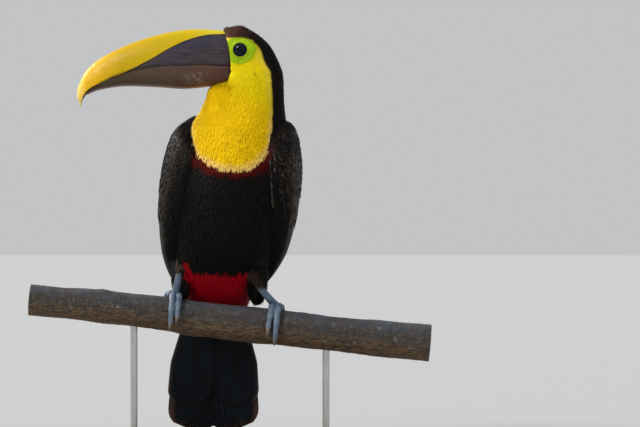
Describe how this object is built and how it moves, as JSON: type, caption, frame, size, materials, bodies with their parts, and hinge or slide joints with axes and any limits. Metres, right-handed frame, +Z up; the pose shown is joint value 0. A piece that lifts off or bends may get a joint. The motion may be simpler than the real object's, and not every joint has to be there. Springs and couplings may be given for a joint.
{
  "type": "perched toucan figure",
  "caption": "Life-size toucan with a long curved bill, wings folded, gripping a cut length of branch on a plain display stand.",
  "frame": {"origin": "on the underside of the stand's base, straight below the middle of the branch", "axes": "+Z up, -Y the way the chest faces, -X the way the bill points"},
  "size_m": [0.4029, 0.164, 0.4225],
  "materials": {
    "black_plumage": "soft, slightly glossy feathers",
    "yellow_plumage": "soft feathers",
    "red_plumage": "soft feathers",
    "white_plumage": "soft feathers",
    "bill_upper": "satin horn, yellow over dark brown",
    "bill_lower": "satin horn, dark chestnut",
    "eye": "wet gloss",
    "foot": "scaly skin",
    "claw": "satin horn",
    "bark": "rough bark",
    "base_wood": "satin lacquer",
    "rod_steel": "satin"
  },
  "bodies": {
    "root": {"head": "yellow_plumage", "throat": "yellow_plumage", "crown": "black_plumage", "nape": "black_plumage", "trunk": "black_plumage", "undertail_coverts": "red_plumage", "uppertail_coverts": "white_plumage", "bill_upper": "bill_upper", "bill_lower": "bill_lower", "eye_left": "eye", "eye_right": "eye", "wing_left": "black_plumage", "wing_right": "black_plumage", "tail": "black_plumage", "thigh_left": "black_plumage", "thigh_right": "black_plumage", "foot_left": "foot", "foot_right": "foot", "claw_left_1": "claw", "claw_left_2": "claw", "claw_left_3": "claw", "claw_left_4": "claw", "claw_right_1": "claw", "claw_right_2": "claw", "claw_right_3": "claw", "claw_right_4": "claw", "perch_branch": "bark", "stand_base": "base_wood", "stand_rod_left": "rod_steel", "stand_rod_right": "rod_steel"}
  },
  "joints": []
}
